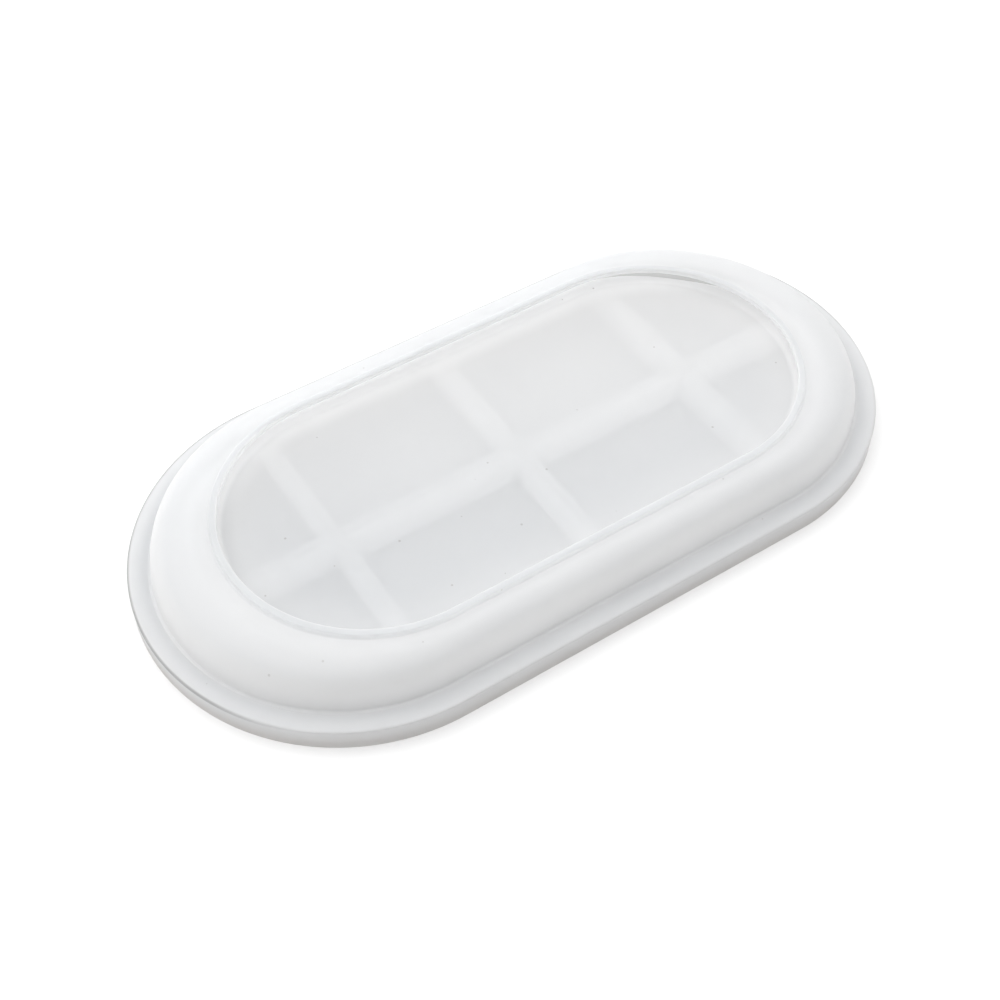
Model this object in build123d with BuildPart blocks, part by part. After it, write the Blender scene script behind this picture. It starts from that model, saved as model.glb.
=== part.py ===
"""Flexible silicone mould for casting a long oval tray upside down.

The mould is one hollow silicone moulding, described here region by region. A flat-bottomed ring
stands on the table. Its outer wall carries a narrow flange, and a rounded shoulder rises from the
flange and turns inwards over the cavity to the lip of the pour opening. A hollow core stands in the
middle and shapes the inside of the tray. Ribs stiffen the core from below, so that its plate stays flat.

Frame: +X along the length, +Y across, +Z up. The origin is on the table at the centre of the outline.
An inset is a distance inwards from the outer wall, given as a (side, end) pair. Millimetres.
"""

from build123d import *
import os
from math import cos, radians, sin

# Outline and heights
LENGTH = 190.0
WIDTH = 98.7
FLANGE_TOP = 5.6
SHOULDER_TOP = 14.8
LIP_TOP = 16.0

# Skin and floor thicknesses
SKIN = 1.6
FLOOR = 1.5
PLATE = 1.4
RIB = 2.3

# Pour opening and its lip
OPENING_LENGTH = 146.5
OPENING_WIDTH = 68.0
LIP_WIDTH = 1.7

# Shoulder: where it leaves the flange, and how square its rounding is (2 is a quarter ellipse)
SHOULDER_FOOT = 5.5
SHOULDER_SQUARENESS = 3.2

# Core: where it leaves the floor, where its flat top begins, and how square its rounding is
CORE_FOOT = 9.7
CORE_TOP = 12.2
CORE_EDGE = 0.5
CORE_SQUARENESS = 3.0

# Ribs across the core
CROSS_RIB_PITCH = 48.3

# The long sides of the shoulder and lip peel back about a living hinge at the shoulder's foot
PEEL_HALF_LENGTH = 45.0
PEEL_GAP = 0.3

# Edge roundings
OUTER_EDGE_RADIUS = 0.5
LIP_EDGE_RADIUS = 0.4
LIP_UNDER_RADIUS = 1.6

# Steps in a rounded profile
STEPS = 8

OPENING_INSET = ((WIDTH - OPENING_WIDTH) / 2, (LENGTH - OPENING_LENGTH) / 2)
LIP_INSET = tuple(inset - LIP_WIDTH for inset in OPENING_INSET)
CORE_INSET = tuple(inset + CORE_EDGE for inset in OPENING_INSET)
REACH = LENGTH


def all_round(inset):
    """An inset that is the same along the sides and round the ends."""
    return (inset, inset)


def outline(inset):
    """Adds the long oval at this inset to the sketch being built."""
    side, end = inset
    SlotOverall(LENGTH - 2 * end, WIDTH - 2 * side)


def ring(outer, inner, bottom, top):
    """A flat-topped ring between two insets, from one height to another."""
    with BuildPart() as part:
        with BuildSketch(Plane.XY.offset(bottom)):
            outline(outer)
        extrude(amount=top - bottom)
        with BuildSketch(Plane.XY.offset(bottom)):
            outline(inner)
        extrude(amount=top - bottom, mode=Mode.SUBTRACT)
    return part.part


def column(inset, bottom, top):
    """A solid block with the outline at this inset, from one height to another."""
    with BuildPart() as part:
        with BuildSketch(Plane.XY.offset(bottom)):
            outline(inset)
        extrude(amount=top - bottom)
    return part.part


def dome(bottom, foot, foot_height, crown, crown_height, squareness):
    """A block that rises straight to foot_height, then rounds over to the flat crown."""
    with BuildPart() as part:
        if bottom < foot_height:
            with BuildSketch(Plane.XY.offset(bottom)):
                outline(all_round(foot))
        for step in range(STEPS + 1):
            angle = radians(90 * step / STEPS)
            outward = cos(angle) ** (2 / squareness) if step < STEPS else 0.0
            upward = sin(angle) ** (2 / squareness)
            height = foot_height + (crown_height - foot_height) * upward
            side, end = (c - (c - foot) * outward for c in crown)
            with BuildSketch(Plane.XY.offset(height)):
                outline((side, end))
        loft(ruled=True)
    return part.part


def slab(x_range, y_range):
    """A tall block over a rectangle of the plan, for cutting a region out."""
    with BuildPart() as part:
        with Locations(((x_range[0] + x_range[1]) / 2, (y_range[0] + y_range[1]) / 2, 0)):
            Box(x_range[1] - x_range[0], y_range[1] - y_range[0], REACH)
    return part.part


def common(body, region):
    """The share of body that lies in region."""
    with BuildPart() as part:
        add(body)
        add(region, mode=Mode.INTERSECT)
    return part.part


def write(name, shape):
    """Labels one region and writes it as its own STEP file."""
    shape.label = name
    export_step(shape, f"parts/{name}.step")


# Outer wall: the upright ring that the mould stands on and is gripped by
with BuildPart() as outer_wall:
    add(ring(all_round(0), all_round(SKIN), 0, FLANGE_TOP))
    top_face = outer_wall.faces().sort_by(Axis.Z)[-1]
    fillet(top_face.outer_wire().edges(), OUTER_EDGE_RADIUS)

# Rim floor: the flat ring under the tray's rim
rim_floor = ring(all_round(SKIN), all_round(CORE_FOOT), 0, FLOOR)

# Flange: the flat skin over the tray's rim
flange = ring(all_round(SKIN), all_round(SHOULDER_FOOT), FLANGE_TOP - SKIN, FLANGE_TOP)

# Shoulder: the rounded skin over the outside of the tray
with BuildPart() as shoulder:
    add(dome(FLANGE_TOP - SKIN, SHOULDER_FOOT, FLANGE_TOP, LIP_INSET, SHOULDER_TOP, SHOULDER_SQUARENESS))
    add(
        dome(
            FLANGE_TOP - SKIN,
            SHOULDER_FOOT + SKIN,
            FLANGE_TOP,
            LIP_INSET,
            SHOULDER_TOP - SKIN,
            SHOULDER_SQUARENESS,
        ),
        mode=Mode.SUBTRACT,
    )
    add(column(LIP_INSET, 0, LIP_TOP), mode=Mode.SUBTRACT)

# Pour lip: the raised ring round the pour opening
with BuildPart() as lip:
    add(ring(LIP_INSET, OPENING_INSET, SHOULDER_TOP - SKIN, LIP_TOP))
    fillet(lip.faces().sort_by(Axis.Z)[-1].edges(), LIP_EDGE_RADIUS)
    under_face = lip.faces().sort_by(Axis.Z)[0]
    fillet(under_face.inner_wires()[0].edges(), LIP_UNDER_RADIUS)

# Core: the hollow plug that shapes the inside of the tray
core_hollow = dome(0, CORE_FOOT + SKIN, FLOOR, CORE_INSET, CORE_TOP - PLATE, CORE_SQUARENESS)
core_column = column(CORE_INSET, CORE_TOP - 2 * PLATE, CORE_TOP)
with BuildPart() as core_shell:
    add(dome(0, CORE_FOOT, FLOOR, CORE_INSET, CORE_TOP, CORE_SQUARENESS))
    add(core_hollow, mode=Mode.SUBTRACT)
with BuildPart() as core_wall:
    add(core_shell.part)
    add(core_column, mode=Mode.SUBTRACT)
core_plate = common(core_shell.part, core_column)

# Long rib: stands under the core plate along the middle
long_rib = common(core_hollow, slab((-REACH, REACH), (-RIB / 2, RIB / 2)))


def cross_rib(centre, side):
    """Half of a cross rib, from the long rib to the core wall on one side."""
    across = sorted((side * RIB / 2, side * WIDTH))
    return common(core_hollow, slab((centre - RIB / 2, centre + RIB / 2), across))


def peel_strip(ring_part, side):
    """The long side of a ring that peels back, cut clear of the flange's edge that it hinges on."""
    hinge_line = side * (WIDTH / 2 - SHOULDER_FOOT)
    with BuildPart() as strip:
        add(ring_part)
        add(slab((-PEEL_HALF_LENGTH, PEEL_HALF_LENGTH), sorted((0, side * WIDTH))), mode=Mode.INTERSECT)
        with Locations((0, hinge_line, FLANGE_TOP - SKIN)):
            Box(LENGTH, 2 * PEEL_GAP, 2 * (SKIN + PEEL_GAP), mode=Mode.SUBTRACT)
    return strip.part


def end_piece(ring_part, side):
    """The round end of a ring, which stays with the rest of the mould."""
    along = sorted((side * (PEEL_HALF_LENGTH + PEEL_GAP), side * REACH))
    return common(ring_part, slab(along, (-REACH, REACH)))


os.makedirs("parts", exist_ok=True)
write("outer_wall", outer_wall.part)
write("rim_floor", rim_floor)
write("flange", flange)
write("core_wall", core_wall.part)
write("core_plate", core_plate)
write("long_rib", long_rib)
for place, centre in (("left", -CROSS_RIB_PITCH), ("middle", 0), ("right", CROSS_RIB_PITCH)):
    write(f"cross_rib_{place}_front", cross_rib(centre, -1))
    write(f"cross_rib_{place}_back", cross_rib(centre, 1))
for place, side in (("front", -1), ("back", 1)):
    write(f"shoulder_{place}", peel_strip(shoulder.part, side))
    write(f"lip_{place}", peel_strip(lip.part, side))
for place, side in (("left", -1), ("right", 1)):
    write(f"shoulder_{place}", end_piece(shoulder.part, side))
    write(f"lip_{place}", end_piece(lip.part, side))
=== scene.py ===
"""Looks of the silicone tray mould: smooth one-piece moulding, milky translucent skin, soft studio light.

Lengths are in metres in the part's own frame: +X along the mould, +Y across, +Z up, the table at z = 0.
An inset is a distance inwards from the outer wall. A profile point is (side inset, end inset, height),
because the shoulder and the core slope further in at the round ends than along the sides.
"""

from math import cos, pi, radians, sin, sqrt

import bpy
import numpy as np
from mathutils import Matrix, Vector


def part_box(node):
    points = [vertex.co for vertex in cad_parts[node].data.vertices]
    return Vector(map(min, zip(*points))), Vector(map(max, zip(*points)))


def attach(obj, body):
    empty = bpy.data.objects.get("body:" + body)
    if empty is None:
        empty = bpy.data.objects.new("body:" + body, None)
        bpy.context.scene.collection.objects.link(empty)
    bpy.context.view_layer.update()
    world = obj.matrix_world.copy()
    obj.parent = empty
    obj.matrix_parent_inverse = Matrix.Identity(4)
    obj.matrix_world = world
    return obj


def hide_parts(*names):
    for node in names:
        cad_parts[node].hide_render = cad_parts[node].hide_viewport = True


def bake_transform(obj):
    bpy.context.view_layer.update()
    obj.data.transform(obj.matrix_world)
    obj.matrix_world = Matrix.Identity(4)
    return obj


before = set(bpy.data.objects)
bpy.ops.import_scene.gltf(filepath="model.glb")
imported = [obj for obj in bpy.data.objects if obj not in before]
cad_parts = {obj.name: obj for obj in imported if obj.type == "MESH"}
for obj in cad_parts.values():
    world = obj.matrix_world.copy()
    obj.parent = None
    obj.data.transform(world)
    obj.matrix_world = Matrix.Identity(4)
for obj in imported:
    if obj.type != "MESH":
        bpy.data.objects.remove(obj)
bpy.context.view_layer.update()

MM = 0.001

# ---- Sizes read from the frame ----
WALL_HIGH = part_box("outer_wall")[1]
HALF_LENGTH = WALL_HIGH.x
HALF_WIDTH = WALL_HIGH.y
FLANGE_TOP = WALL_HIGH.z
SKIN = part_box("flange")[1].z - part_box("flange")[0].z
FLOOR_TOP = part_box("rim_floor")[1].z
LIP_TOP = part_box("lip_left")[1].z
LIP_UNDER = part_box("lip_left")[0].z
SHOULDER_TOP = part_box("shoulder_left")[1].z
SHOULDER_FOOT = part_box("shoulder_left")[0].x + HALF_LENGTH
LIP_OUTER = (HALF_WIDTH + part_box("lip_front")[0].y, HALF_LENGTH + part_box("lip_left")[0].x)
CORE_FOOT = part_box("core_wall")[0].x + HALF_LENGTH
CORE_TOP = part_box("core_plate")[1].z
CORE_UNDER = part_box("core_plate")[0].z
CORE_EDGE = (HALF_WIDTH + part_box("core_plate")[0].y, HALF_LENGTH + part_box("core_plate")[0].x)
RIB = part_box("long_rib")[1].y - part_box("long_rib")[0].y

# ---- Sizes that the frame's boxes don't give ----
LIP_WIDTH = 1.7 * MM
LIP_EDGE = 1.2 * MM
SHOULDER_SQUARENESS = 3.2
CORE_SQUARENESS = 3.0
OPENING = tuple(inset + LIP_WIDTH for inset in LIP_OUTER)
CORE_INNER_FOOT = CORE_FOOT + SKIN

# ---- Mesh fineness ----
STRAIGHT_STEPS = 26
ARC_STEPS = 72
CURVE_STEPS = 18
CORNER_STEPS = 4
PLATE_STEPS = 30
RIB_STEPS = 48

# Ribs: the pitch across the core, the flare into the plate, and how far each runs into what it meets
CROSS_PITCH = (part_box("cross_rib_right_front")[0].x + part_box("cross_rib_right_front")[1].x) / 2
RIB_FLARE = 0.2 * MM
RIB_BITE = 0.25 * MM

# The thin plate hangs a little between the ribs
PLATE_SAG = 0.12 * MM
PLATE_HALF_WIDTH = HALF_WIDTH - CORE_EDGE[0]

# Roundings: the hollow one where the shoulder rises from the flange, and the small ones at corners
FOOT_FILLET = 0.9 * MM
WALL_FOOT_ROUND = 0.35 * MM
WALL_TOP_ROUND = 0.5 * MM
INNER_CORNER_ROUND = 0.4 * MM
LIP_FOOT_ROUND = 0.7 * MM
LIP_OUTER_ROUND = 0.45 * MM
LIP_INNER_ROUND = 0.35 * MM
RIB_FOOT_ROUND = 0.4 * MM

# ---- Tones of the silicone, and the painted light and shade on it ----
MILK = (0.845, 0.86, 0.875)
MILK_DEEP = (0.815, 0.83, 0.85)
# The core's tone where its painted light is weakest, then the milky white laid on as painted light on the
# shoulder, the core and the ribs' feet
MILK_NEAR = (0.68, 0.705, 0.735)
MILK_PAINTED_LIGHT = (0.96, 0.96, 0.96)
RIB_TONE = (0.94, 0.94, 0.94)
# Painted shade that greys the lip and the far flange
PAINTED_SHADE_TONE = (0.70, 0.725, 0.75)
# Painted highlight on the lip's inner edge
LIP_EDGE_PAINTED_HIGHLIGHT = (0.82, 0.83, 0.84)
# Painted shade on the outer wall
WALL_PAINTED_SHADE = (0.66, 0.67, 0.68)
# Painted shade as a thin dark outline on the far rim
RIM_PAINTED_SHADE = (0.5, 0.5, 0.5)
# Warmer painted shade low on the outer wall
WARM_PAINTED_SHADE = (0.55, 0.51, 0.48)
# Painted shadow of the gap under one end's lip
GAP_PAINTED_SHADOW = (0.55, 0.55, 0.54)
DUST = (0.32, 0.30, 0.28)

# Light that has soaked through: its colour in most of the mould, and in the upright outer wall
GLOW = (0.97, 0.97, 0.97, 1.0)
WALL_GLOW = (0.95, 0.94, 0.93)

# Share of the light that soaks through each region
SKIN_SOAK = 0.6
PLATE_SOAK = 0.3
MARGIN_SOAK = 0.19
INSIDE_SOAK = 0.5
RIB_SOAK = 0.85

# Share seen straight through. A pair is for the skin below and on the lip, or the plate's near and far end
SKIN_CLEAR = (0.08, 0.2)
PLATE_CLEAR = (0.38, 0.32)
ROUNDED_LESS_CLEAR = 0.12
MARGIN_LESS_CLEAR = 0.12
INSIDE_CLEAR = 0.85
RIB_TOP_CLEAR = 0.24
RIB_IN_PLATE_MORE_CLEAR = 0.38

SKIN_ROUGHNESS = 0.42
INSIDE_ROUGHNESS = 0.5

# Directions in which the painted light and shade change: across to the far long side, and towards the far end
FAR_SIDE = (-0.1, 1.0, 0.0)
FAR_END = (0.3, 0.95, 0.0)

# The painted shadow of a gap under the lip at one round end: where it is widest, how fast it closes, and how
# deep it shows, in mm
GAP_TOWARDS = (0.61, 0.79, 0.0)
GAP_CLOSING = 11.0
GAP_DEPTH = 2.4

# ---- Table, light and camera ----
TABLE_RADIUS = 6.0
TABLE_DROP = -0.02 * MM
TABLE_TUCK = 2 * MM

# Shade and light of its own, for the open table and for the part under the mould, which is left darker as a
# painted shadow
TABLE_OPEN = (0.62, 0.37)
TABLE_PAINTED_SHADOW = (0.58, 0.0)

# Each lobe of the sky: direction, the range of closeness to it, and the strength over that range
SKY_LOBES = (
    ((0, 0, 1), 0.2, 1.0, 0.0, 0.5),
    ((1, 0, 0.4), 0.45, 1.0, 0.0, 1.0),
    ((0, 1, 0.4), 0.45, 1.0, 0.0, 0.28),
    ((-1, 1, 0.57), 0.45, 1.0, 0.0, 1.0),
    ((1, -1, 0.57), 0.45, 1.0, 0.0, 0.18),
    ((1, 1, 2), 0.4, 1.0, 0.0, 0.47),
    ((-1, 1, 2), 0.4, 1.0, 0.0, 0.88),
)

CAMERA_AZIMUTH = radians(-33.45)
CAMERA_ELEVATION = radians(49.98)
CAMERA_ROLL = radians(0.21)
CAMERA_DISTANCE = 358.98 * MM
CAMERA_TARGET = Vector((-7.63 * MM, -3.82 * MM, 0))
CAMERA_SENSOR = 36.0
CAMERA_LENS = 55.05


# ---------------------------------------------------------------- outlines and profiles
def quarter(point, x_sign, y_sign):
    """Points of one quarter of the oval at a profile point, from the middle of a side to an end's tip."""
    side, end, height = point
    radius = HALF_WIDTH - side
    centre = HALF_LENGTH - end - radius
    plan = [(centre * step / STRAIGHT_STEPS, radius) for step in range(STRAIGHT_STEPS)]
    for step in range(ARC_STEPS + 1):
        angle = pi / 2 * step / ARC_STEPS
        plan.append((centre + radius * sin(angle), radius * cos(angle)))
    return [(x_sign * x, y_sign * y, height) for x, y in plan]


def outline(point):
    """The whole oval at a profile point, anticlockwise from the middle of the front side."""
    front_right = quarter(point, 1, -1)
    back_right = quarter(point, 1, 1)[::-1]
    back_left = quarter(point, -1, 1)
    front_left = quarter(point, -1, -1)[::-1]
    return front_right[:-1] + back_right[:-1] + back_left[:-1] + front_left[:-1]


def round_corners(points, radii):
    """A closed profile with each corner rounded by its radius, as a short curve of CORNER_STEPS steps."""
    smooth = []
    count = len(points)
    for index, (corner, radius) in enumerate(zip(points, radii)):
        corner = Vector(corner)
        if radius == 0:
            smooth.append(corner)
            continue
        towards = (Vector(points[index - 1]) - corner, Vector(points[(index + 1) % count]) - corner)
        first, last = (corner + side.normalized() * min(radius, side.length * 0.49) for side in towards)
        for step in range(CORNER_STEPS + 1):
            share = step / CORNER_STEPS
            smooth.append(first.lerp(corner, share).lerp(corner.lerp(last, share), share))
    return smooth


def rounding(foot, foot_height, crown, crown_height, squareness):
    """Points of a curve that leaves a foot straight up and turns in to a level crown."""
    points = []
    for step in range(CURVE_STEPS + 1):
        angle = pi / 2 * step / CURVE_STEPS
        outward = cos(angle) ** (2 / squareness) if step < CURVE_STEPS else 0.0
        upward = sin(angle) ** (2 / squareness)
        height = foot_height + (crown_height - foot_height) * upward
        points.append((*(c - (c - foot) * outward for c in crown), height))
    return points


def both(inset, height):
    """A profile point whose inset is the same along the sides and round the ends."""
    return (inset, inset, height)


# ---------------------------------------------------------------- meshes
def grid_normals(grid):
    """Area-weighted smooth normals of a grid of points whose rows and columns both close on themselves."""
    ahead = np.roll(grid, -1, axis=0)
    beside = np.roll(grid, -1, axis=1)
    across = np.roll(ahead, -1, axis=1)
    faces = 0.5 * np.cross(across - grid, beside - ahead)
    total = faces + np.roll(faces, 1, axis=1)
    total = total + np.roll(total, 1, axis=0)
    return total / np.maximum(np.linalg.norm(total, axis=2, keepdims=True), 1e-12)


def mesh_normals(mesh):
    """Area-weighted smooth normals of any mesh, which keep flat areas flat beside small roundings."""
    normals = [Vector() for vertex in mesh.vertices]
    for polygon in mesh.polygons:
        for vertex in polygon.vertices:
            normals[vertex] += polygon.normal * polygon.area
    return [normal.normalized() for normal in normals]


def finish_mesh(name, vertices, faces, materials, insets=None, cut_faces=0, vertex_normals=None, inside=()):
    """Makes a smooth-shaded object from points and faces.

    The last cut_faces faces are flat and take the last material. Faces numbered in inside take the second.
    """
    mesh = bpy.data.meshes.new(name)
    mesh.from_pydata([tuple(v) for v in vertices], [], faces)
    for material in materials:
        mesh.materials.append(material)
    mesh.shade_smooth()
    mesh.update()
    vertex_normals = mesh_normals(mesh) if vertex_normals is None else vertex_normals
    corner_normals = []
    for polygon in mesh.polygons:
        is_cut = polygon.index >= len(faces) - cut_faces
        if is_cut:
            polygon.material_index = len(materials) - 1
        elif polygon.index in inside:
            polygon.material_index = 1
        for vertex in polygon.vertices:
            corner_normals.append(tuple(polygon.normal if is_cut else vertex_normals[vertex]))
    mesh.normals_split_custom_set(corner_normals)
    place = mesh.attributes.new("place", "FLOAT_VECTOR", "POINT")
    flat = np.array([tuple(v) for v in vertices], np.float32).ravel()
    place.data.foreach_set("vector", flat / np.float32(MM))
    if insets is not None:
        inset = mesh.attributes.new("inset", "FLOAT", "POINT")
        inset.data.foreach_set("value", np.asarray(insets, np.float32) / np.float32(MM))
    piece = bpy.data.objects.new(name, mesh)
    bpy.context.scene.collection.objects.link(piece)
    return piece


def sweep_grid(profile):
    """The profile carried all round the oval: rows follow the oval, columns follow the profile."""
    return np.array([outline(point) for point in profile]).transpose(1, 0, 2)


def band_faces(rows, columns, close_rows, close_columns):
    """The four-sided faces of a grid of points."""
    faces = []
    for row in range(rows if close_rows else rows - 1):
        for column in range(columns if close_columns else columns - 1):
            corner, ahead = row * columns, (row + 1) % rows * columns
            beside = (column + 1) % columns
            faces.append((corner + column, ahead + column, ahead + beside, corner + beside))
    return faces


def swept_ring(name, profile, materials):
    """A ring all round the oval whose profile is open where another piece carries it on."""
    grid = sweep_grid(profile)
    rows, columns = grid.shape[:2]
    insets = np.tile([point[0] for point in profile], rows)
    faces = band_faces(rows, columns, True, False)
    return finish_mesh(name, grid.reshape(-1, 3), faces, materials, insets)


def swept_quarter(name, profile, materials, start_row, outside_columns):
    """A quarter of a ring with a closed profile. Faces of the last material close both cuts."""
    grid = sweep_grid(profile)
    normals = grid_normals(grid)
    rows, columns = STRAIGHT_STEPS + ARC_STEPS + 1, grid.shape[1]
    chosen = [(start_row + row) % grid.shape[0] for row in range(rows)]
    faces = band_faces(rows, columns, False, True)
    inside = {index for index in range(len(faces)) if index % columns >= outside_columns}
    faces.append(tuple(range(columns)))
    faces.append(tuple(range(rows * columns - 1, (rows - 1) * columns - 1, -1)))
    insets = np.tile([point[0] for point in profile], rows)
    points, normals = grid[chosen].reshape(-1, 3), normals[chosen].reshape(-1, 3)
    return finish_mesh(name, points, faces, materials, insets, 2, normals, inside)


def plate_sag(x, y):
    """How far the thin plate hangs between the ribs: nothing at the ribs and at the core's edge."""
    return -PLATE_SAG * sin(pi * abs(y) / PLATE_HALF_WIDTH) ** 2 * sin(pi * x / CROSS_PITCH) ** 2


def plate_inset(x, y):
    """The side inset of a point on the plate."""
    centre = HALF_LENGTH - CORE_EDGE[1] - PLATE_HALF_WIDTH
    return HALF_WIDTH - sqrt(max(0.0, abs(x) - centre) ** 2 + y**2)


def add_fill(vertices, faces, ring_rows, facing_up):
    """Fills the oval between the front and back halves of ring_rows with a fine grid that can sag."""
    quarter_rows = STRAIGHT_STEPS + ARC_STEPS
    stations = []
    for station in range(-quarter_rows, quarter_rows + 1):
        front = ring_rows[station % (4 * quarter_rows)]
        back = ring_rows[2 * quarter_rows - station]
        if front == back:
            stations.append([front])
            continue
        line = [front]
        for step in range(1, PLATE_STEPS):
            point = Vector(vertices[front]).lerp(Vector(vertices[back]), step / PLATE_STEPS)
            point.z += plate_sag(point.x, point.y)
            vertices.append(tuple(point))
            line.append(len(vertices) - 1)
        stations.append(line + [back])
    for left, right in zip(stations, stations[1:]):
        for step in range(PLATE_STEPS):
            corners = [left[min(step, len(left) - 1)], right[min(step, len(right) - 1)]]
            corners += [right[min(step + 1, len(right) - 1)], left[min(step + 1, len(left) - 1)]]
            corners = list(dict.fromkeys(corners))
            faces.append(tuple(corners if facing_up else corners[::-1]))


def core_mesh(name, under_profile, side_profile, materials):
    """The hollow core: its wall inside and out, closed by the plate's underside and top."""
    vertices, faces, insets = [], [], []
    for profile, plate_column, facing_up in ((under_profile, 0, False), (side_profile, -1, True)):
        grid = sweep_grid(profile)
        rows, columns = grid.shape[:2]
        first = len(vertices)
        vertices += [tuple(point) for point in grid.reshape(-1, 3)]
        insets += [point[0] for point in profile] * rows
        faces += [tuple(first + v for v in face) for face in band_faces(rows, columns, True, False)]
        edge = [first + row * columns + plate_column % columns for row in range(rows)]
        add_fill(vertices, faces, edge, facing_up)
        insets += [plate_inset(x, y) for x, y, z in vertices[len(insets) :]]
        if not facing_up:
            inside = range(len(faces))
    return finish_mesh(name, vertices, faces, materials, insets, inside=inside)


# ---------------------------------------------------------------- profiles
def base_profile():
    """Rim floor, outer wall and flange in one section, open where the floor meets the core."""
    points = [
        both(CORE_FOOT, 0),
        both(0, 0),
        both(0, FLANGE_TOP),
        both(SHOULDER_FOOT, FLANGE_TOP),
        both(SHOULDER_FOOT, FLANGE_TOP - SKIN),
        both(SKIN, FLANGE_TOP - SKIN),
        both(SKIN, FLOOR_TOP),
        both(CORE_FOOT, FLOOR_TOP),
    ]
    radii = [0, WALL_FOOT_ROUND, WALL_TOP_ROUND, 0, 0, INNER_CORNER_ROUND, INNER_CORNER_ROUND, 0]
    return round_corners(points, radii)


def skin_profile():
    """Shoulder and pour lip in one section, and how many of its points are on the outside."""
    outside = rounding(SHOULDER_FOOT, FLANGE_TOP, LIP_OUTER, SHOULDER_TOP, SHOULDER_SQUARENESS)
    inside = rounding(SHOULDER_FOOT + SKIN, FLANGE_TOP, LIP_OUTER, LIP_UNDER, SHOULDER_SQUARENESS)
    tip = SHOULDER_FOOT - FOOT_FILLET
    toe = [
        both(tip, FLANGE_TOP - 0.1 * MM),
        both(tip, FLANGE_TOP + 0.01 * MM),
        both(SHOULDER_FOOT, FLANGE_TOP),
    ]
    points = [both(SHOULDER_FOOT, FLANGE_TOP - SKIN)] + toe + outside[1:]
    radii = [0, 0, 0, FOOT_FILLET] + [0] * (len(outside) - 2) + [LIP_FOOT_ROUND]
    points += [(*LIP_OUTER, LIP_TOP), (*OPENING, LIP_TOP), (*OPENING, LIP_TOP - LIP_EDGE)]
    radii += [LIP_OUTER_ROUND, LIP_INNER_ROUND, 0]
    outside_count = len(round_corners(points, radii)) - 1
    points += inside[::-1] + [both(SHOULDER_FOOT + SKIN, FLANGE_TOP - SKIN)]
    radii += [0] * (len(inside) + 1)
    return round_corners(points, radii), outside_count


def core_profiles():
    """The core wall inside, from the plate's underside to its foot, and outside, up to the plate's top."""
    inside = rounding(CORE_INNER_FOOT, FLOOR_TOP, CORE_EDGE, CORE_UNDER, CORE_SQUARENESS)[::-1]
    outside = rounding(CORE_FOOT, FLOOR_TOP, CORE_EDGE, CORE_TOP, CORE_SQUARENESS)
    foot = [both(CORE_INNER_FOOT, 0), both(CORE_FOOT, 0)]
    under = round_corners(inside + foot, [0] * len(inside) + [WALL_FOOT_ROUND, 0])
    return under, [Vector(point) for point in outside]


def rib_half_thickness(height):
    """A rib is a little thicker towards the plate and flares into it."""
    half = RIB / 2 * (0.92 + 0.1 * height / CORE_UNDER)
    into_flare = (height - (CORE_UNDER - RIB_FLARE)) / RIB_FLARE
    if into_flare > 0:
        half += RIB_FLARE * (1 - sqrt(max(0.0, 1 - min(into_flare, 1.0) ** 2)))
    return half


def core_inner_inset(height):
    """The (side, end) inset of the core wall's inside at a height."""
    rise = (height - FLOOR_TOP) / (CORE_UNDER - FLOOR_TOP)
    rise = min(max(rise, 0.0), 0.999)
    outward = (1 - rise**CORE_SQUARENESS) ** (1 / CORE_SQUARENESS)
    return tuple(c - (c - CORE_INNER_FOOT) * outward for c in CORE_EDGE)


def rib_reach(height, off_centre, lengthways):
    """How far from the middle a rib runs at a height before it is inside the core wall."""
    side, end = core_inner_inset(height)
    radius = HALF_WIDTH - side
    centre = HALF_LENGTH - end - radius
    if lengthways:
        return centre + radius + RIB_BITE
    return sqrt(radius**2 - max(0.0, abs(off_centre) - centre) ** 2) + RIB_BITE


def rib_section(bite):
    """Half thickness and height round a rib's section, from its foot up one side and down the other."""
    flare_start = CORE_UNDER - RIB_FLARE
    heights = [0.0, 0.12 * MM]
    heights += [RIB_FOOT_ROUND + (flare_start - RIB_FOOT_ROUND) * step / 6 for step in range(7)]
    heights += [flare_start + RIB_FLARE * step / 5 for step in range(1, 6)]
    side = []
    for height in heights:
        half = rib_half_thickness(height)
        if height < RIB_FOOT_ROUND:
            half -= RIB_FOOT_ROUND - sqrt(RIB_FOOT_ROUND**2 - (RIB_FOOT_ROUND - height) ** 2)
        side.append((half, height))
    side.append((side[-1][0], CORE_UNDER + bite))
    return side + [(-half, height) for half, height in side[::-1]]


def rib_mesh(name, centre, start_side, lengthways, materials):
    """A rib along the core, or half of one across it, whose ends follow the core wall."""
    section = rib_section(RIB_BITE if lengthways else RIB_BITE / 2)
    vertices = []
    for step in range(RIB_STEPS + 1):
        share = step / RIB_STEPS
        for offset, height in section:
            reach = rib_reach(min(height, CORE_UNDER), centre, lengthways)
            if lengthways:
                vertices.append(((2 * share - 1) * reach, offset, height))
            else:
                near = RIB / 2 - RIB_BITE
                along = start_side * (near + (reach - near) * share)
                vertices.append((centre - start_side * offset, along, height))
    count = len(section)
    faces = [face[::-1] for face in band_faces(RIB_STEPS + 1, count, False, True)]
    faces.append(tuple(range(count))[::-1])
    faces.append(tuple(range(RIB_STEPS * count, (RIB_STEPS + 1) * count)))
    return finish_mesh(name, vertices, faces, materials)


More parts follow.
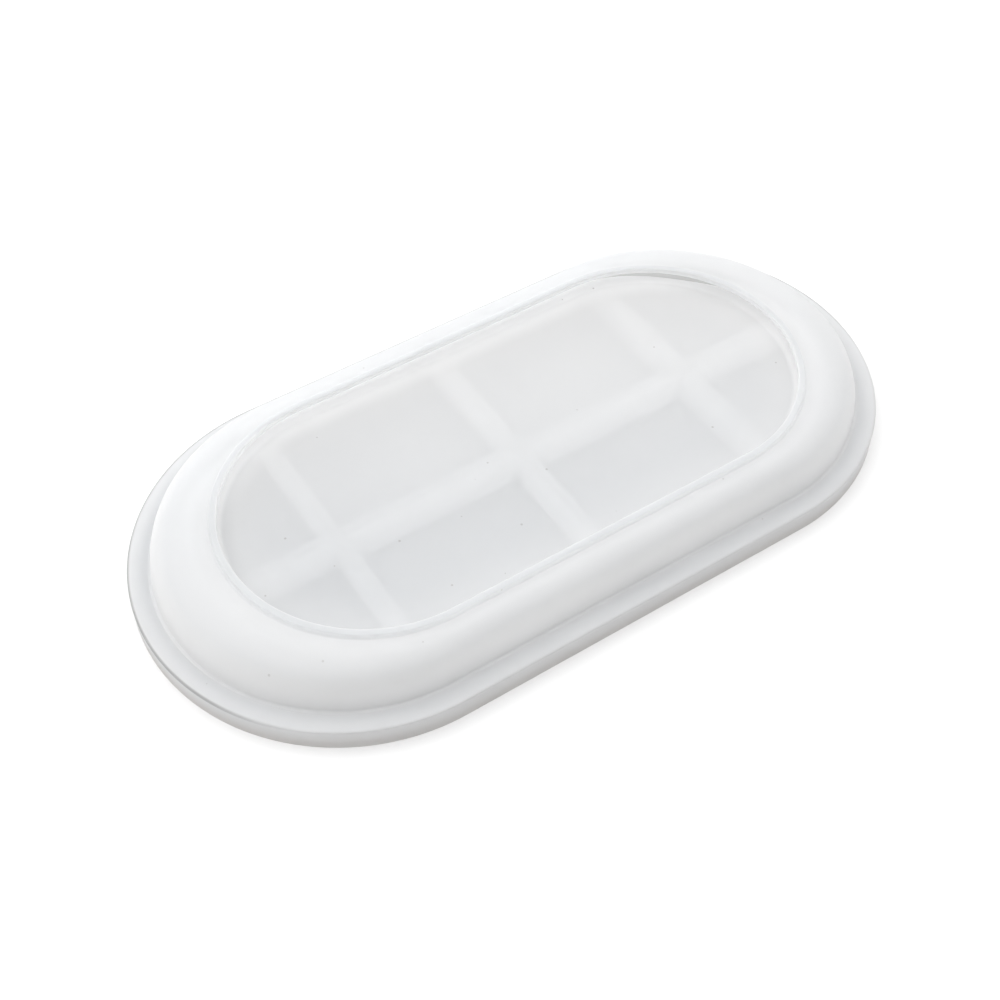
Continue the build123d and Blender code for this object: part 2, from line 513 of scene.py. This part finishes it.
# ---------------------------------------------------------------- materials
class Shader:
    """A material being built: adds nodes and joins them up."""

    def __init__(self, name):
        self.material = bpy.data.materials.new(name)
        self.material.use_nodes = True
        self.tree = self.material.node_tree
        self.tree.nodes.clear()
        place = self.node("ShaderNodeAttribute", attribute_name="place")
        self.place = place.outputs["Vector"]
        self.inset = self.node("ShaderNodeAttribute", attribute_name="inset").outputs["Fac"]
        apart = self.node("ShaderNodeSeparateXYZ", {"Vector": self.place})
        self.across = apart.outputs["Y"]
        self.height = apart.outputs["Z"]

    def node(self, kind, inputs=None, **settings):
        """A new node, with its settings and its inputs, each a value or another node's output."""
        node = self.tree.nodes.new(kind)
        for key, value in settings.items():
            setattr(node, key, value)
        for key, value in (inputs or {}).items():
            if isinstance(value, bpy.types.NodeSocket):
                self.tree.links.new(value, node.inputs[key])
            else:
                node.inputs[key].default_value = value
        return node

    def math(self, operation, *values):
        """A calculation on numbers."""
        return self.node("ShaderNodeMath", dict(enumerate(values)), operation=operation).outputs[0]

    def times(self, first, second):
        return self.math("MULTIPLY", first, second)

    def vector(self, operation, *values):
        """A calculation on vectors, as its node."""
        return self.node("ShaderNodeVectorMath", dict(enumerate(values)), operation=operation)

    def along(self, direction):
        """How far a point lies along a direction."""
        return self.vector("DOT_PRODUCT", self.place, direction).outputs["Value"]

    def ramp(self, value, low, high, to_low=0.0, to_high=1.0):
        """Follows value smoothly from low to high."""
        inputs = {"Value": value, "From Min": low, "From Max": high, "To Min": to_low, "To Max": to_high}
        return self.node("ShaderNodeMapRange", inputs, interpolation_type="SMOOTHSTEP").outputs["Result"]

    def band(self, value, centre, half_width):
        """One at centre and nothing beyond half_width of it."""
        away = self.math("ABSOLUTE", self.math("SUBTRACT", value, centre))
        return self.ramp(away, 0.0, half_width, 1.0, 0.0)

    def noise(self, scale):
        inputs = {"Vector": self.place, "Scale": scale, "Detail": 3.0, "Roughness": 0.5}
        return self.node("ShaderNodeTexNoise", inputs).outputs["Fac"]

    def mix(self, share, first, second):
        """A colour between two colours."""
        node = self.node("ShaderNodeMix", data_type="RGBA")
        for key, value in ((0, share), (6, first), (7, second)):
            if isinstance(value, bpy.types.NodeSocket):
                self.tree.links.new(value, node.inputs[key])
            else:
                node.inputs[key].default_value = value if key == 0 else (*value, 1.0)
        return node.outputs[2]

    def specks(self, colour, spacing=5.0, size=0.3, share=0.5):
        """Colour with a few tiny dust specks, in millimetres."""
        inputs = {"Vector": self.place, "Scale": 1 / spacing}
        cells = self.node("ShaderNodeTexVoronoi", inputs)
        chance = self.node("ShaderNodeSeparateColor", inputs={"Color": cells.outputs["Color"]})
        chosen = self.math("LESS_THAN", chance.outputs["Red"], share)
        radius = self.times(self.ramp(chance.outputs["Green"], 0.0, 1.0, 0.5, 1.0), size / spacing)
        inside = self.math("LESS_THAN", cells.outputs["Distance"], radius)
        return self.mix(self.times(self.times(inside, chosen), 0.6), colour, DUST)

    def finish(self, colour, glow, soak, clear, roughness):
        """Satin silicone: a surface, light that soaks through it, and a share seen straight through."""
        grain = {"Height": self.noise(1.4), "Strength": 0.5, "Distance": 0.02 * MM}
        bump = self.node("ShaderNodeBump", grain).outputs["Normal"]
        surface = self.node(
            "ShaderNodeBsdfPrincipled",
            {"Base Color": colour, "Roughness": roughness, "IOR": 1.41, "Normal": bump},
        ).outputs["BSDF"]
        through = self.node("ShaderNodeBsdfTranslucent", {"Color": glow}).outputs["BSDF"]
        milk = self.node("ShaderNodeMixShader", {0: soak, 1: surface, 2: through}).outputs["Shader"]
        straight = self.node("ShaderNodeBsdfTransparent", {"Color": (1.0, 1.0, 1.0, 1.0)}).outputs["BSDF"]
        whole = self.node("ShaderNodeMixShader", {0: clear, 1: milk, 2: straight}).outputs["Shader"]
        self.node("ShaderNodeOutputMaterial", {"Surface": whole})
        return self.material


def milky(shader):
    """Slightly cloudy silicone."""
    cloudy = shader.ramp(shader.noise(0.045), 0.3, 0.7)
    return shader.mix(cloudy, MILK, MILK_DEEP)


def skin_material():
    """Outer wall, flange, shoulder and lip."""
    shader = Shader("silicone_skin")
    foot = SHOULDER_FOOT / MM
    lip_outer = LIP_OUTER[0] / MM
    lip_inner = OPENING[0] / MM
    flange_top = FLANGE_TOP / MM
    across = shader.along(FAR_SIDE)
    far = shader.ramp(across, 0.0, 35.0)

    # Painted light: the shoulder is lightest low down, lifting the shade in the crease at its foot, and a
    # little lighter all over except on the far side
    on_shoulder = shader.ramp(shader.inset, foot - 1.2, foot)
    painted_foot_light = shader.band(shader.inset, foot + 0.4, 2.6)
    painted_shoulder_light = shader.times(on_shoulder, shader.ramp(far, 0.0, 1.0, 0.4, 0.0))
    painted_light = shader.math("MAXIMUM", painted_shoulder_light, painted_foot_light)
    colour = shader.mix(painted_light, milky(shader), MILK_PAINTED_LIGHT)

    # Painted shade greys the far flange and the lip, and a painted highlight lightens the lip's inner edge
    # again
    on_flange = shader.ramp(shader.inset, foot, foot - 0.8)
    painted_far_flange_shade = shader.times(on_flange, shader.ramp(far, 0.0, 1.0, 0.0, 0.45))
    colour = shader.mix(painted_far_flange_shade, colour, PAINTED_SHADE_TONE)
    on_lip = shader.ramp(shader.inset, lip_outer - 0.4, lip_outer + 0.2)
    colour = shader.mix(on_lip, colour, PAINTED_SHADE_TONE)
    painted_edge_highlight = shader.ramp(shader.inset, lip_inner - 0.45, lip_inner - 0.2)
    colour = shader.mix(painted_edge_highlight, colour, LIP_EDGE_PAINTED_HIGHLIGHT)

    # Painted shade makes the outer wall darker, and warmer towards the table
    on_wall = shader.ramp(shader.inset, 0.8, 0.1)
    painted_low_wall_shade = shader.times(on_wall, shader.ramp(shader.height, flange_top, 0.0))
    colour = shader.mix(shader.times(on_wall, 0.8), colour, WALL_PAINTED_SHADE)
    colour = shader.mix(painted_low_wall_shade, colour, WARM_PAINTED_SHADE)
    glow = shader.mix(on_wall, GLOW[:3], WALL_GLOW)

    # Painted shade as a thin dark outline on the rounded rim of the far half
    near_top = shader.ramp(shader.height, flange_top - 0.7, flange_top - 0.4)
    rounded = shader.times(shader.band(shader.inset, 0.1, 0.55), near_top)
    painted_rim_shade = shader.times(rounded, shader.ramp(shader.math("ADD", across, 30.0), 0.0, 25.0))
    colour = shader.mix(painted_rim_shade, colour, RIM_PAINTED_SHADE)
    glow = shader.mix(painted_rim_shade, glow, RIM_PAINTED_SHADE)

    clear = shader.ramp(shader.inset, lip_outer - 3.0, lip_outer, *SKIN_CLEAR)
    return shader.finish(shader.specks(colour), glow, SKIN_SOAK, clear, SKIN_ROUGHNESS)


def gap_shade(shader):
    """One in the painted shadow of a gap under the lip at one round end, and nothing elsewhere.

    The painted shadow is a thin dark crescent on the core's rounding. It is widest towards GAP_TOWARDS, from
    the middle of that end.
    """
    end_centre = ((HALF_LENGTH - HALF_WIDTH) / MM, 0, 0)
    from_centre = shader.vector("SUBTRACT", shader.place, end_centre).outputs[0]
    level = shader.vector("MULTIPLY", from_centre, (1, 1, 0)).outputs[0]
    towards = shader.vector("NORMALIZE", level).outputs[0]
    facing = shader.vector("DOT_PRODUCT", towards, GAP_TOWARDS).outputs["Value"]
    widest = OPENING[0] / MM - 0.6
    edge = shader.math("MULTIPLY_ADD", shader.math("SUBTRACT", facing, 1.0), GAP_CLOSING, widest)
    beside_plate = shader.math("GREATER_THAN", shader.inset, widest - GAP_DEPTH)
    return shader.times(beside_plate, shader.math("LESS_THAN", shader.inset, edge))


def core_material():
    """Core wall and plate, thin enough to show the ribs, lighter with painted light towards the far end and
    near the edge. Where the wall rounds over it is less clear, and lighter again with painted light.
    """
    shader = Shader("silicone_core")
    start = CORE_EDGE[0] / MM
    # Painted light: lighter towards the far end, near the plate's edge under the lip, and where the wall
    # rounds over
    near_edge = shader.ramp(shader.inset, start + 12.0, start)
    rounded = shader.ramp(shader.inset, start + 0.8, start - 0.3)
    far = shader.ramp(shader.along(FAR_END), -40.0, 40.0)
    lit = shader.math("ADD", shader.times(far, 0.8), shader.times(near_edge, 0.3))
    painted_light = shader.math("MAXIMUM", lit, rounded)
    colour = shader.mix(painted_light, shader.mix(0.5, milky(shader), MILK_NEAR), MILK_PAINTED_LIGHT)
    # Painted shadow of the gap under one end's lip, on the core's rounding
    gap = gap_shade(shader)
    colour = shader.mix(shader.times(gap, 0.9), colour, GAP_PAINTED_SHADOW)

    # The far margin of the plate is milkier, and no light soaks through in the painted gap shadow
    beside_wall = shader.ramp(shader.inset, start + 6.0, start)
    margin = shader.times(beside_wall, shader.ramp(shader.across, 12.0, 30.0))
    clear = shader.ramp(far, 0.0, 1.0, *PLATE_CLEAR)
    clear = shader.math("SUBTRACT", clear, shader.times(rounded, ROUNDED_LESS_CLEAR))
    clear = shader.math("SUBTRACT", clear, shader.times(margin, MARGIN_LESS_CLEAR))
    outside_gap = shader.ramp(gap, 0.0, 1.0, 1.0, 0.0)
    soak = shader.times(shader.ramp(margin, 0.0, 1.0, PLATE_SOAK, MARGIN_SOAK), outside_gap)
    return shader.finish(shader.specks(colour), GLOW, soak, clear, INSIDE_ROUGHNESS)


def inner_material():
    """The hidden side of the silicone, which adds little milkiness of its own."""
    shader = Shader("silicone_inside")
    return shader.finish(milky(shader), GLOW, INSIDE_SOAK, INSIDE_CLEAR, INSIDE_ROUGHNESS)


def rib_material():
    """Ribs, partly clear just below the plate, clearer within it, and lighter towards their feet with painted
    light.
    """
    shader = Shader("silicone_ribs")
    plate_under = CORE_UNDER / MM
    deep = shader.math("SUBTRACT", 1.0, shader.math("DIVIDE", shader.height, plate_under))
    # Painted light makes the ribs lighter towards their feet
    colour = shader.mix(shader.ramp(deep, 0.0, 0.3), RIB_TONE, MILK_PAINTED_LIGHT)
    in_plate = shader.ramp(shader.height, plate_under - 0.1, plate_under + 0.1)
    below_plate = shader.ramp(deep, 0.0, 0.8, RIB_TOP_CLEAR, 0.0)
    clear = shader.math("ADD", below_plate, shader.times(in_plate, RIB_IN_PLATE_MORE_CLEAR))
    return shader.finish(colour, GLOW, RIB_SOAK, clear, INSIDE_ROUGHNESS)


def seam_material():
    """The cuts between quarters of one moulding, which aren't there to be seen."""
    shader = Shader("seam")
    clear = shader.node("ShaderNodeBsdfTransparent").outputs["BSDF"]
    shader.node("ShaderNodeOutputMaterial", {"Surface": clear})
    return shader.material


# ---------------------------------------------------------------- pieces
skin = skin_material()
core = core_material()
inner = inner_material()
ribs = rib_material()
seam = seam_material()


def place_piece(piece, body, slot, *nodes):
    """The piece rides on a body if given one, and stands for its nodes. Its slot is not used."""
    if body is not None:
        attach(piece, body)
    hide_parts(*nodes)


base_piece = swept_ring("mould_base", base_profile(), [skin])
place_piece(base_piece, "mould", "skin", "outer_wall", "rim_floor", "flange")
core_piece = core_mesh("mould_core", *core_profiles(), [core, inner])
place_piece(core_piece, "mould", "core", "core_wall", "core_plate")

# The skin in quarters, in the order of the outline. Each runs from the middle of its long side round to the
# tip of its end.
quarter_rows = STRAIGHT_STEPS + ARC_STEPS
section, outside_columns = skin_profile()
skin_quarters = (("front", "right", 1), ("back", "right", 1), ("back", "left", -1), ("front", "left", -1))
for turn, (side, end, x_sign) in enumerate(skin_quarters):
    name = f"skin_{side}_{end}"
    nodes = (f"shoulder_{side}", f"lip_{side}", f"shoulder_{end}", f"lip_{end}")
    piece = swept_quarter(name, section, [skin, inner, seam], turn * quarter_rows, outside_columns)
    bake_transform(piece)
    place_piece(piece, None, "skin", *nodes)

place_piece(rib_mesh("rib_long", 0, 1, True, [ribs]), "mould", "ribs", "long_rib")
for spot, centre in (("left", -CROSS_PITCH), ("middle", 0), ("right", CROSS_PITCH)):
    for side, y_sign in (("front", -1), ("back", 1)):
        piece = rib_mesh(f"rib_{spot}_{side}", centre, y_sign, False, [ribs])
        place_piece(piece, "mould", "ribs", f"cross_rib_{spot}_{side}")


# ---------------------------------------------------------------- floor, light and camera
def stage_piece(name, vertices, faces, shade, lift):
    """A flat matt part of the table, with some light of its own to keep it near white."""
    mesh = bpy.data.meshes.new(name)
    mesh.from_pydata(vertices, [], faces)
    material = bpy.data.materials.new(name)
    material.use_nodes = True
    tree = material.node_tree
    tree.nodes.clear()
    matt = tree.nodes.new("ShaderNodeBsdfDiffuse")
    matt.inputs["Color"].default_value = (shade, shade, shade, 1.0)
    glow = tree.nodes.new("ShaderNodeEmission")
    glow.inputs["Strength"].default_value = lift
    total = tree.nodes.new("ShaderNodeAddShader")
    out = tree.nodes.new("ShaderNodeOutputMaterial")
    tree.links.new(matt.outputs[0], total.inputs[0])
    tree.links.new(glow.outputs[0], total.inputs[1])
    tree.links.new(total.outputs[0], out.inputs["Surface"])
    mesh.materials.append(material)
    piece = bpy.data.objects.new(name, mesh)
    bpy.context.scene.collection.objects.link(piece)


def stage_table():
    """A plain white table, with its own darker part under the mould as a painted shadow."""
    edge = outline(both(TABLE_TUCK, TABLE_DROP))
    count = len(edge)
    angles = [2 * pi * i / count - pi / 2 for i in range(count)]
    far = [(TABLE_RADIUS * cos(angle), TABLE_RADIUS * sin(angle), TABLE_DROP) for angle in angles]
    ring = [(i, count + i, count + (i + 1) % count, (i + 1) % count) for i in range(count)]
    stage_piece("stage_table", edge + far, ring, *TABLE_OPEN)
    # The part under the mould, darker as a painted shadow
    stage_piece("stage_table_painted_shadow", edge, [tuple(range(count))], *TABLE_PAINTED_SHADOW)


def soft_light(name, location, target, size, power):
    """A square area light of that size in metres, aimed at target."""
    light = bpy.data.lights.new(name, "AREA")
    light.size = size
    light.energy = power
    lamp = bpy.data.objects.new(name, light)
    lamp.location = location
    lamp.rotation_mode = "QUATERNION"
    lamp.rotation_quaternion = (Vector(target) - Vector(location)).to_track_quat("-Z", "Y")
    bpy.context.scene.collection.objects.link(lamp)


def sky():
    """Soft studio light in broad lobes, strongest from behind left and from the right."""
    world = bpy.data.worlds.new("studio")
    bpy.context.scene.world = world
    world.use_nodes = True
    tree = world.node_tree
    background = tree.nodes["Background"]
    direction = tree.nodes.new("ShaderNodeTexCoord").outputs["Generated"]
    strength = None
    for towards, low, high, from_strength, to_strength in SKY_LOBES:
        along = tree.nodes.new("ShaderNodeVectorMath")
        along.operation = "DOT_PRODUCT"
        tree.links.new(direction, along.inputs[0])
        along.inputs[1].default_value = Vector(towards).normalized()
        spread = tree.nodes.new("ShaderNodeMapRange")
        spread.interpolation_type = "SMOOTHSTEP"
        spread.inputs["From Min"].default_value = low
        spread.inputs["From Max"].default_value = high
        spread.inputs["To Min"].default_value = from_strength
        spread.inputs["To Max"].default_value = to_strength
        tree.links.new(along.outputs["Value"], spread.inputs["Value"])
        if strength is None:
            strength = spread.outputs["Result"]
            continue
        total = tree.nodes.new("ShaderNodeMath")
        total.operation = "ADD"
        tree.links.new(strength, total.inputs[0])
        tree.links.new(spread.outputs["Result"], total.inputs[1])
        strength = total.outputs[0]
    tree.links.new(strength, background.inputs["Strength"])
    background.inputs["Color"].default_value = (1.0, 1.0, 1.0, 1.0)


stage_table()
sky()
soft_light("key", (-0.45, 0.75, 0.6), (0, 0, 0), 0.9, 0.5)

back = Vector(
    (
        sin(CAMERA_AZIMUTH) * cos(CAMERA_ELEVATION),
        -cos(CAMERA_AZIMUTH) * cos(CAMERA_ELEVATION),
        sin(CAMERA_ELEVATION),
    )
)
level = Vector((0, 0, 1)).cross(back).normalized()
upright = back.cross(level)
right = level * cos(CAMERA_ROLL) + upright * sin(CAMERA_ROLL)
up = upright * cos(CAMERA_ROLL) - level * sin(CAMERA_ROLL)
camera_data = bpy.data.cameras.new("camera")
camera_data.sensor_width = CAMERA_SENSOR
camera_data.lens = CAMERA_LENS
camera_data.clip_start = 0.01
camera = bpy.data.objects.new("camera", camera_data)
bpy.context.scene.collection.objects.link(camera)
turned = Matrix((right, up, back)).transposed().to_4x4()
camera.matrix_world = Matrix.Translation(CAMERA_TARGET + back * CAMERA_DISTANCE) @ turned
bpy.context.scene.camera = camera
bpy.context.scene.view_settings.view_transform = "Standard"
bpy.context.scene.cycles.diffuse_bounces = 8
